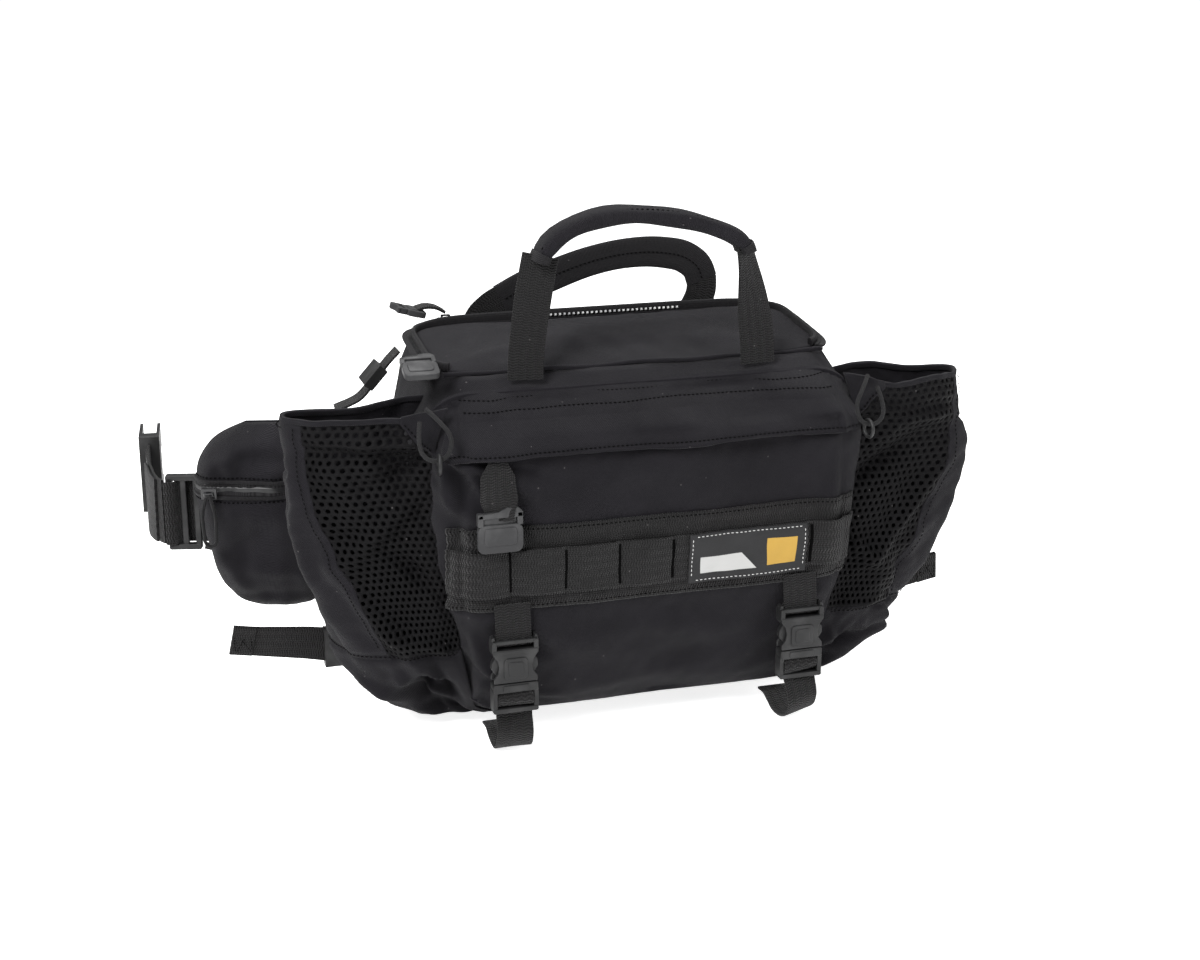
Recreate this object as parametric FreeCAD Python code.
"""A waist pack with a belt, built as separate sewn, moulded and webbing pieces.

Millimetres, +Z up.  The wearer stands on the +Y side, the front of the pack looks along -Y.
Everything is first laid out from the middle of the pack's base and is moved, as it is written,
so that the origin lies at the middle of the back pad's flat rear face.
"""
import FreeCAD, Part
import os
import math

Vector = FreeCAD.Vector

# ---------------------------------------------------------------- driving dimensions
WALL = 3.0                      # lined fabric wall of the bag
BACK = 146.0                    # rear of the bag, from its front plane
FRONT_POCKET = 26.0             # depth at which the front pocket ends
DIVIDER = 2.0                   # panel between the two compartments
PAD_THICK = 18.0                # foam pad behind the bag
PAD_HALF = 138.0
PAD_LOW = 28.0
PAD_HIGH = 238.0
CLEAR = 0.6                     # room between pieces that move past each other
WEBBING = 25.0                  # lash straps and handles
WEB_THICK = 1.8
BELT = 50.0                     # waist belt webbing
LASH_X = 105.0                  # lash straps, either side of the middle

# height, half width, front: the outline of the bag from base to rim
LEVELS = [
    (0, 112, 48), (6, 124, 32), (20, 131, 17), (50, 139, 5), (110, 149, -4),
    (165, 155, -4), (208, 157, 0), (232, 150, 12), (250, 143, 40), (272, 141, 42),
]
CORNER = 22.0                   # plan radius of the bag's upright corners
RIM_FRONT = Vector(0, 42, 250)  # the lid's hinge seam
RIM_RISE = math.degrees(math.atan2(12, BACK - 42))

# height, reach, front, rear: the outline of a bottle pocket
POCKET_LEVELS = [
    (2, 168, 42, 96), (18, 186, 29, 104), (60, 216, 17, 106),
    (110, 237, 14, 98), (150, 246, 14, 86), (230, 244, 16, 64),
]
POCKET_WALL = 2.2
CUP_TOP = 46.0                  # the fabric cup below the mesh
MESH_BACK = 44.0                # the mesh covers the pocket as far back as this

# the wing and the belt, for the +X side
WING_ROOT = Vector(143, 158, 0)
WING_LONG = 152.0
WING_THICK = 13.0
WING_TURN = 14.0
HIP_LEVELS = [                  # height, inner end, outer end, depth in front of the wing
    (54, 72, 118, 12), (70, 60, 134, 26), (104, 52, 146, 38), (150, 48, 153, 42),
    (172, 52, 148, 36), (188, 66, 126, 16),
]
HIP_ZIP = 150.0                 # height of the hip pocket's zip
BELT_LOW = 97.0

SHIFT = Vector(0, -(BACK + CLEAR + PAD_THICK), -(PAD_LOW + PAD_HIGH) / 2)
parts = {}


# ---------------------------------------------------------------- helpers
def box(low, high):
    """A block from its lowest to its highest corner."""
    size = [h - l for l, h in zip(low, high)]
    return Part.makeBox(size[0], size[1], size[2], Vector(*low))


def mirror(shape):
    """The same piece on the other side of the pack."""
    return shape.mirror(Vector(0, 0, 0), Vector(1, 0, 0))


def group(shapes):
    """Several alike pieces that share a node."""
    return Part.makeCompound(shapes)


def rounded_plan(half, front, back, radius, height):
    """A rectangle in plan, symmetric about x = 0, with its four corners rounded."""
    radius = min(radius, (back - front) / 2 - 1)
    corners = [(-half, front), (half, front), (half, back), (-half, back)]
    inward = [(1, 1), (-1, 1), (-1, -1), (1, -1)]
    edges = []
    ends = []
    for (x, y), (sx, sy) in zip(corners, inward):
        along_x = Vector(x + sx * radius, y, height)
        along_y = Vector(x, y + sy * radius, height)
        bend = radius * (1 - math.sqrt(0.5))
        middle = Vector(x + sx * bend, y + sy * bend, height)
        first, last = (along_y, along_x) if sx * sy > 0 else (along_x, along_y)
        ends.append((first, last))
        edges.append(Part.Arc(first, middle, last).toShape())
    loop = []
    for i in range(4):
        loop.append(edges[i])
        loop.append(Part.LineSegment(ends[i][1], ends[(i + 1) % 4][0]).toShape())
    return Part.Wire(loop)


def bag_form(grow):
    """The whole bag's outline, grown by a distance (or shrunk, when it is negative)."""
    wires = []
    for height, half, front in LEVELS:
        wires.append(rounded_plan(half + grow, front - grow, BACK + grow, CORNER + grow, height))
    return Part.makeLoft(wires, True, True)


def skin(low, high, region):
    """A thin piece lying on the bag between two distances from its surface, inside a region."""
    return bag_form(high).cut(bag_form(low)).common(region)


def side_offsets(points, thickness):
    """The two edges of a bent strip, a half thickness either side of its line."""
    left = []
    right = []
    for i, (a, b) in enumerate(points):
        before = points[max(i - 1, 0)]
        after = points[min(i + 1, len(points) - 1)]
        first = direction(before, (a, b)) if i > 0 else direction((a, b), after)
        second = direction((a, b), after) if i < len(points) - 1 else first
        mid = (first[0] + second[0], first[1] + second[1])
        size = math.hypot(*mid)
        normal = (-mid[1] / size, mid[0] / size)
        lean = normal[0] * -first[1] + normal[1] * first[0]
        reach = thickness / 2 / lean
        left.append((a + normal[0] * reach, b + normal[1] * reach))
        right.append((a - normal[0] * reach, b - normal[1] * reach))
    return left, right


def direction(start, end):
    """The unit step from one point in a plane to the next."""
    step = (end[0] - start[0], end[1] - start[1])
    size = math.hypot(*step)
    return step[0] / size, step[1] / size


def outline(points, plane, at):
    """A flat closed face in the plane "xz", "yz" or "xy", at a place on the third axis."""
    place = {
        "xz": lambda a, b: Vector(a, at, b),
        "yz": lambda a, b: Vector(at, a, b),
        "xy": lambda a, b: Vector(a, b, at),
    }[plane]
    corners = [place(a, b) for a, b in points]
    return Part.Face(Part.makePolygon(corners + corners[:1]))


def slab(points, plane, low, high):
    """A flat outline pulled from one place to another along the third axis."""
    pull = {"xz": Vector(0, 1, 0), "yz": Vector(1, 0, 0), "xy": Vector(0, 0, 1)}[plane]
    return outline(points, plane, low).extrude(pull * (high - low))


def strap(points, plane, low, high, thickness=WEB_THICK):
    """Webbing bent along a line in one plane, its width running from low to high."""
    left, right = side_offsets(points, thickness)
    return slab(left + right[::-1], plane, low, high)


def arc_points(centre, radius_a, radius_b, start, end, count):
    """Points along an elliptic arc, in degrees."""
    turn = [math.radians(start + (end - start) * i / (count - 1)) for i in range(count)]
    return [(centre[0] + radius_a * math.cos(t), centre[1] + radius_b * math.sin(t)) for t in turn]


def cord_tube(name, points, diameter):
    """A round cord: straight runs joined by arcs as large as the runs allow."""
    points = [Vector(*p) for p in points]
    edges = []
    radii = []
    last = points[0]
    for before, corner, after in zip(points, points[1:], points[2:]):
        into = (corner - before).normalize()
        out = (after - corner).normalize()
        half_turn = into.getAngle(out) / 2
        tangent = 0.45 * min((corner - before).Length, (after - corner).Length)
        radius = tangent / math.tan(half_turn)
        start = corner - into * tangent
        end = corner + out * tangent
        bisector = (out - into).normalize()
        middle = corner + bisector * (radius / math.cos(half_turn) - radius)
        edges.append(Part.LineSegment(last, start).toShape())
        edges.append(Part.Arc(start, middle, end).toShape())
        radii.append(round(radius, 1))
        last = end
    edges.append(Part.LineSegment(last, points[-1]).toShape())
    path = Part.Wire(edges)
    ring = Part.makeCircle(diameter / 2, points[0], points[1] - points[0])
    tube = path.makePipeShell([Part.Wire([ring])], True, False)
    expected = math.pi * diameter ** 2 / 4 * path.Length
    print(name, "length", round(path.Length, 1), "radii", radii, "volume ratio", round(tube.Volume / expected, 3))
    return tube


def on_rim(shape):
    """Tilt a piece drawn flat at the hinge seam's height up to the slope of the rim."""
    turned = shape.copy()
    turned.rotate(RIM_FRONT, Vector(1, 0, 0), RIM_RISE)
    return turned


def on_wing(shape):
    """Place a piece drawn along +X from the wing's root onto the wing."""
    turned = shape.copy()
    turned.rotate(Vector(0, 0, 0), Vector(0, 0, 1), WING_TURN)
    turned.translate(WING_ROOT)
    return turned


# ---------------------------------------------------------------- the bag
def bag():
    """The main tub, the front pocket, the panel between them and the sheet that stiffens the back."""
    everywhere = 400
    rim = box((-everywhere, -everywhere, RIM_FRONT.z), (everywhere, everywhere, everywhere))
    above_rim = on_rim(rim)
    outer = bag_form(0)
    inner = bag_form(-WALL)
    behind = box((-everywhere, FRONT_POCKET + DIVIDER, -10), (everywhere, everywhere, everywhere))
    before = box((-everywhere, -everywhere, -10), (everywhere, FRONT_POCKET, everywhere))
    between = box((-everywhere, FRONT_POCKET, -10), (everywhere, FRONT_POCKET + DIVIDER, everywhere))
    room = inner.common(box((-everywhere, -everywhere, WALL), (everywhere, everywhere, everywhere)))
    ceiling = box((-everywhere, -everywhere, 226), (everywhere, FRONT_POCKET, everywhere))
    parts["main_shell"] = outer.common(behind).cut(room).cut(above_rim)
    mouth = box((-126, -20, 205), (126, 12, 212))
    parts["front_pocket_shell"] = outer.common(before).cut(room.cut(ceiling)).cut(mouth)
    parts["divider_panel"] = outer.common(between).cut(above_rim)
    sheet_low = 12
    sheet_high = 236
    sheet = box((-128, BACK - WALL - 1.9, sheet_low), (128, BACK - WALL - 0.3, sheet_high))
    parts["frame_sheet"] = sheet.common(inner)


def lid():
    """The fixed zip tape round the rim and the lid that opens from the back, on its front seam."""
    seam = RIM_FRONT.y
    deep = (BACK - seam) / math.cos(math.radians(RIM_RISE))
    lid_deep = deep - 3
    z = RIM_FRONT.z

    def plate(inset, far, low, high):
        wire = rounded_plan(141 - inset, seam + inset, seam + far - inset, CORNER, z + low)
        return Part.Face(wire).extrude(Vector(0, 0, high - low))

    tape = plate(0, deep, 0.1, 1.3).cut(plate(9, deep, 0, 2))
    tape = tape.cut(box((-200, 0, z - 1), (200, seam + 12, z + 3)))
    parts["rim_zip_tape"] = on_rim(tape)
    panel = plate(0, lid_deep, 2.0, 5.0).common(box((-200, seam + 2, z), (200, 300, z + 9)))
    parts["lid_panel"] = on_rim(panel)


def front_trim():
    """The storm flap, zip, daisy band with its loops and the patch, lying on the front."""
    parts["front_zip_tape"] = skin(0.2, 1.2, box((-132, -60, 202), (132, 14, 216))).cut(
        box((-126, -60, 207), (126, 14, 210.5)))
    cover = skin(8.4, 9.9, box((-150, -60, 204), (150, 12, 228)))
    seam = skin(0.6, 9.9, box((-150, -60, 226.5), (150, 12, 229)))
    parts["storm_flap"] = cover.fuse(seam)
    parts["daisy_band"] = skin(0.2, 2.0, box((-156, -60, 96), (156, 10, 155)))
    tacks = [-144, -106, -68, -30, 8]
    loops = skin(3.4, 5.0, box((tacks[0], -60, 107), (113, 24, 140)))
    for x in tacks:
        loops = loops.fuse(skin(2.0, 5.0, box((x, -60, 107), (x + 3, 24, 140))))
    loops = loops.fuse(skin(2.0, 5.0, box((110, -60, 107), (144, 24, 140))))
    parts["daisy_loops"] = loops
    parts["label_patch"] = skin(5.2, 6.4, box((20, -60, 104), (108, 24, 140)))


# ---------------------------------------------------------------- handles
def handles():
    """Two carrying handles, each a webbing loop with a padded or folded fabric grip."""
    top = arc_points((0, 322), 74, 38, 172, 8, 17)
    grip = strap(top, "xz", 18, 44, 12.0)
    parts["handle_front_grip"] = grip
    leg = [(73.3, 327.6), (77, 300), (83, 251.5)]
    legs = [slab([(x - 12.5, z) for x, z in leg] + [(x + 12.5, z) for x, z in leg[::-1]], "xz", 30, 32)]
    legs.append(mirror(legs[0]))
    parts["handle_front_web"] = group([shape.cut(grip) for shape in legs])
    crown = arc_points((0, 268), 82, 44, 160, 20, 15)
    band = strap(crown, "xz", 166, 171, 25.0)
    parts["handle_rear_grip"] = band
    leg = [(79.5, 284), (84, 256)]
    legs = [slab([(x - 12.5, z) for x, z in leg] + [(x + 12.5, z) for x, z in leg[::-1]], "xz", 167.5, 169.3)]
    legs.append(mirror(legs[0]))
    parts["handle_rear_web"] = group([shape.cut(band) for shape in legs])


# ---------------------------------------------------------------- zip sliders and pulls
def zip_slider(centre, along, up):
    """A metal slider: a body with a bridge that holds the pull, as long as it is along its zip."""
    long, wide, high = 11, 8, 3
    body = Part.makeBox(long, wide, high, Vector(-long / 2, -wide / 2, 0))
    bridge = Part.makeBox(7, 2.4, 2.6, Vector(-3.5, -1.2, high))
    bridge = bridge.cut(Part.makeBox(4, 3, 1.4, Vector(-2, -1.5, high)))
    across = up.cross(along)
    turn = FreeCAD.Matrix(along.x, across.x, up.x, centre.x,
                          along.y, across.y, up.y, centre.y,
                          along.z, across.z, up.z, centre.z, 0, 0, 0, 1)
    return body.fuse(bridge).transformGeometry(turn)


def pull_end(width, height, thick):
    """A moulded end with rounded shoulders and a slot for its webbing, drawn hanging from z = 0."""
    half = width / 2
    points = [(-half, 0), (half, 0), (half, -height * 0.62), (half * 0.62, -height),
              (-half * 0.62, -height), (-half, -height * 0.62)]
    end = slab(points, "xz", -thick / 2, thick / 2)
    return end.cut(box((-half * 0.72, -thick, -height * 0.26), (half * 0.72, thick, -height * 0.12)))


def pulls():
    """Each zip pull: a webbing tab on its slider with a moulded end."""
    front_out = Vector(0, -1, 0)
    side = Vector(1, 0, 0)
    parts["front_zip_slider"] = zip_slider(Vector(-114, -1.7, 208.5), side, front_out)
    tab = [(-8.8, 202.2), (-10.2, 194), (-11.2, 169.6)]
    parts["front_pull_tab"] = strap(tab, "yz", -124, -104, 2.4)
    end = pull_end(31, 28, 6)
    end.translate(Vector(-114, -12.6, 169))
    parts["front_pull_end"] = end

    parts["main_zip_slider_a"] = zip_slider(Vector(-148.2, 60, 252), Vector(0, 1, 0), Vector(0, 0, 1))
    tab = [(60, 261.5), (44, 262.5), (30, 259)]
    parts["main_pull_a_tab"] = strap(tab, "yz", -161, -144.5, 2.4)
    end = pull_end(24, 22, 5)
    end.rotate(Vector(0, 0, 0), Vector(1, 0, 0), -68)
    end.translate(Vector(-156.5, 29, 260))
    parts["main_pull_a_end"] = end

    parts["main_zip_slider_b"] = zip_slider(Vector(-112, 151, 263.5), side, Vector(0, 0, 1))
    tab = [(-112, 271), (-124, 275), (-136, 273)]
    parts["main_pull_b_tab"] = strap(tab, "xz", 147, 162, 2.4)
    end = pull_end(20, 22, 5)
    end.rotate(Vector(0, 0, 0), Vector(0, 0, 1), 90)
    end.rotate(Vector(0, 0, 0), Vector(0, 1, 0), 82)
    end.translate(Vector(-137.6, 154.5, 272.5))
    parts["main_pull_b_end"] = end


# ---------------------------------------------------------------- bottle pockets
def pocket_form(inset):
    """A bottle pocket's outline: a deep curve in plan, widest high up."""
    wires = []
    for height, reach, front, back in POCKET_LEVELS:
        inner = 90
        low = Vector(inner, front + inset, height)
        high = Vector(inner, back - inset, height)
        shoulder = (reach - inset) - (back - front) * 0.42
        bend_low = Vector(shoulder, front + inset, height)
        bend_high = Vector(shoulder, back - inset, height)
        far = Vector(reach - inset, (front + back) / 2, height)
        edges = [
            Part.LineSegment(low, bend_low).toShape(),
            Part.Arc(bend_low, far, bend_high).toShape(),
            Part.LineSegment(bend_high, high).toShape(),
            Part.LineSegment(high, low).toShape(),
        ]
        wires.append(Part.Wire(edges))
    return Part.makeLoft(wires, True, True)


def side_pockets():
    """Mesh fronts, fabric cups and their shock cords with a ring."""
    floor = POCKET_LEVELS[0][0]
    room = pocket_form(POCKET_WALL).common(box((0, 0, floor + POCKET_WALL), (400, 200, 400)))
    wall = pocket_form(0).cut(room).cut(bag_form(0.3))
    mesh_region = box((0, -50, CUP_TOP), (400, MESH_BACK, 400))
    mesh = wall.common(mesh_region)
    cup = wall.cut(mesh_region)
    parts["side_pocket_mesh_right"] = mesh
    parts["side_pocket_cup_right"] = cup
    parts["side_pocket_mesh_left"] = mirror(mesh)
    parts["side_pocket_cup_left"] = mirror(cup)
    route = [(158, 7, 238), (151, -2, 232), (143, -7, 221), (147, -9, 208),
             (160, -9, 206), (167, -6, 217), (163, 2, 231)]
    parts["pocket_cord_right"] = cord_tube("pocket_cord", route, 3.0)
    parts["pocket_cord_left"] = mirror(parts["pocket_cord_right"])
    ring = Part.makeTorus(6.0, 1.3, Vector(153, -8.6, 204), Vector(1, 0.1, 0))
    parts["cord_rings"] = group([ring, mirror(ring)])


# ---------------------------------------------------------------- lash straps and their buckles
def lash_female():
    """A buckle's socket, drawn about x = 0: two plates with a block and a webbing bar at the top."""
    plates = box((-16, -16, 47), (16, -13.8, 69)).fuse(box((-16, -6.2, 47), (16, -4, 69)))
    head = box((-16, -16, 68), (16, -4, 77)).cut(box((-13, -17, 71), (13, -3, 74.4)))
    return plates.fuse(head)


def lash_male():
    """A buckle's plug: a base with a ladder for the webbing, and a middle tongue."""
    base = box((-16, -15, 25), (16, -5, 44)).cut(box((-13, -16, 28), (13, -4, 32)))
    base = base.cut(box((-13, -16, 35), (13, -4, 39)))
    return base.fuse(box((-3.5, -12.5, 43), (3.5, -7.5, 62)))


def lash_arm(z_root=44.6):
    """A buckle's springy arm on the +X side, with the button that a finger presses."""
    points = [(6.5, z_root), (11.5, z_root), (12, 53), (15.8, 55), (15.8, 62), (11, 66.2), (6.5, 66.2), (7, 53)]
    return slab(points, "xz", -12.4, -7.6)


def lash_straps():
    """Two straps under the front that hold a roll: web, buckle and the loop below the base."""
    web = strap([(-8, 99), (-10, 78.2)], "yz", -WEBBING / 2, WEBBING / 2)
    fold = box((-WEBBING / 2, -12, 71.3), (WEBBING / 2, -9, 74.1))
    line = [(-10, 31.5), (-12, 14), (-9, 0), (0, -6), (12, -6), (23, -1.6), (35, -2.6)]
    loop = strap(line, "yz", -WEBBING / 2, WEBBING / 2)
    webs = []
    females = []
    for side, x in (("left", -LASH_X), ("right", LASH_X)):
        out = Vector(x, 0, 0)
        webs.append(web.translated(out))
        webs.append(fold.translated(out))
        females.append(lash_female().translated(out))
        parts["lash_male_" + side] = lash_male().translated(out)
        parts["lash_loop_" + side] = loop.cut(lash_male()).translated(out)
        parts["lash_arm_outer_" + side] = (lash_arm() if x > 0 else mirror(lash_arm())).translated(out)
        parts["lash_arm_inner_" + side] = (mirror(lash_arm()) if x > 0 else lash_arm()).translated(out)
    parts["lash_webs"] = group(webs)
    parts["lash_females"] = group(females)


# ---------------------------------------------------------------- back, wings and belt
def back_pad():
    """The foam pad against the wearer, with its edges eased."""
    front = BACK + CLEAR
    corner = 30
    points = [(-PAD_HALF + corner, PAD_LOW), (PAD_HALF - corner, PAD_LOW), (PAD_HALF, PAD_LOW + corner),
              (PAD_HALF, PAD_HIGH - corner), (PAD_HALF - corner, PAD_HIGH), (-PAD_HALF + corner, PAD_HIGH),
              (-PAD_HALF, PAD_HIGH - corner), (-PAD_HALF, PAD_LOW + corner)]
    pad = slab(points, "xz", front, front + PAD_THICK)
    rim = [edge for edge in pad.Edges if abs(edge.CenterOfMass.y - front - PAD_THICK) < 0.1]
    parts["back_pad"] = pad.makeChamfer(6, rim)


def wing():
    """A padded wing in its own frame: +X out from the pad, z as on the pack."""
    shape = [(2, 52), (40, 60), (100, 82), (WING_LONG, 95), (WING_LONG, 149), (100, 168), (40, 188), (2, 196)]
    return slab(shape, "xz", -WING_THICK / 2, WING_THICK / 2)


def hip_pocket():
    """The domed pocket on the front of a wing, hollow, with its mouth along the zip."""
    face = -WING_THICK / 2 - 0.1

    def form(inset):
        wires = []
        for height, inner, outer, deep in HIP_LEVELS:
            middle = (inner + outer) / 2
            wire = rounded_plan((outer - inner) / 2 - inset, face - deep + inset, face - inset,
                                min(14, deep * 0.45), height)
            wire.translate(Vector(middle, 0, 0))
            wires.append(wire)
        return Part.makeLoft(wires, True, True)

    low = HIP_LEVELS[0][0] + 2
    high = HIP_LEVELS[-1][0] - 2
    room = form(2.0).common(box((0, -200, low), (400, 200, high)))
    mouth = box((56, -80, HIP_ZIP - 1), (142, -30, HIP_ZIP + 5.5))
    return form(0).cut(room).cut(mouth)


def ladder_lock(height, wide, x, y):
    """A frame of plastic with two bars that the belt doubles through, standing across +X."""
    frame = box((x, y - 3, height - 4), (x + 24, y + 3, height + wide + 4))
    frame = frame.cut(box((x + 4, y - 4, height - 0.5), (x + 9, y + 4, height + wide + 0.5)))
    return frame.cut(box((x + 14, y - 4, height - 0.5), (x + 19, y + 4, height + wide + 0.5)))


def wings_and_belt():
    """Both wings with their pockets, and the two halves of the belt."""
    zip_face = -WING_THICK / 2 - HIP_LEVELS[3][3]
    slide = 138
    slider = zip_slider(Vector(slide, zip_face - 0.6, HIP_ZIP + 1.5), Vector(1, 0, 0), Vector(0, -1, 0))
    drop = zip_face - 7.8
    route = [(-1, drop, 151), (-5, drop - 1.5, 140), (-4.4, drop, 125), (-4, drop + 1, 113),
             (4, drop + 1, 113), (4.4, drop, 126), (5, drop - 1.5, 140), (1, drop - 0.5, 150.5)]
    route = [(slide + x, y, z) for x, y, z in route]
    cord = cord_tube("hip_pull_cord", route, 2.6)
    tip = WING_LONG + 1
    lock = ladder_lock(BELT_LOW, BELT, tip, 0)
    for name, shape in (("wing", wing()), ("hip_pocket", hip_pocket()), ("hip_zip_slider", slider),
                        ("hip_pull_cord", cord), ("belt_lock", lock)):
        placed = on_wing(shape)
        parts[name + "_right"] = placed
        parts[name + "_left"] = mirror(placed)

    line = [(317.6, 201.4), (320.2, 207), (322.6, 218), (323.5, 240), (322.5, 272), (319.5, 302)]
    parts["belt_web_right"] = strap(line, "xy", BELT_LOW, BELT_LOW + BELT)
    parts["belt_web_left"] = mirror(parts["belt_web_right"])


def belt_buckle():
    """The 50 mm side-release buckle, parted: socket on the left half, plug on the right."""
    low = BELT_LOW
    high = BELT_LOW + BELT

    def place(shape):
        turned = shape.copy()
        turned.rotate(Vector(0, 0, 0), Vector(0, 0, 1), 6)
        return turned.translated(Vector(319.5, 302.4, 0))

    socket = box((-8, 0, low - 6), (8, 42, high + 6))
    socket = socket.cut(box((-5.4, 12, low - 7), (5.4, 43, high + 7)))
    socket = socket.cut(box((-9, 4, low - 0.5), (9, 8.5, high + 0.5)))
    parts["belt_female"] = mirror(place(socket.cut(box((-9, 30, low + 13), (9, 43, high - 13)))))
    plug = box((-6, 0, low - 6), (6, 20, high + 6)).cut(box((-7, 4, low - 0.5), (7, 8.5, high + 0.5)))
    plug = plug.fuse(box((-3, 19, low + 21), (3, 44, high - 21)))
    parts["belt_male"] = place(plug)
    middle = (low + high) / 2
    points = [(20.8, high - 10), (20.8, high - 4), (30, high - 2), (34, high + 5.5), (42, high + 5.5),
              (48, high - 2), (48, high - 10), (32, high - 8)]
    arm = slab(points, "yz", -4.5, 4.5)
    parts["belt_arm_upper"] = place(arm)
    lower = arm.mirror(Vector(0, 0, middle), Vector(0, 0, 1))
    parts["belt_arm_lower"] = place(lower)


def stabilisers():
    """Straps from the bag's rear corners to the wings, with their locks and free tails."""
    upper = strap([(149, 247), (166, 228), (178, 214), (196, 206)], "xz", 136, 154, 1.6)
    lower = strap([(137, 26), (168, 25), (205, 31), (246, 38), (281, 44)], "xz", 127, 128.8, WEBBING)
    webs = [upper, lower]
    lock_upper = box((-9, 133, -1.8), (9, 157, 6)).cut(box((-10, 135.5, -1.4), (10, 154.5, 1.4)))
    lock_upper.rotate(Vector(0, 0, 0), Vector(0, 1, 0), 48)
    lock_upper.translate(Vector(166, 0, 228))
    lock_lower = box((196, 124, 15.5), (214, 133, 45))
    locks = [lock_upper.cut(upper), lock_lower.cut(lower)]
    parts["stabiliser_webs"] = group(webs + [mirror(shape) for shape in webs])
    parts["stabiliser_locks"] = group(locks + [mirror(shape) for shape in locks])


# ---------------------------------------------------------------- build and write
for build in (bag, lid, front_trim, handles, pulls, side_pockets, lash_straps, back_pad,
              wings_and_belt, belt_buckle, stabilisers):
    build()

os.makedirs("parts", exist_ok=True)
for name, shape in parts.items():
    moved = shape.translated(SHIFT)
    if not moved.isValid():
        print("NOT VALID", name)
    moved.exportStep("parts/" + name + ".step")
print(len(parts), "nodes")
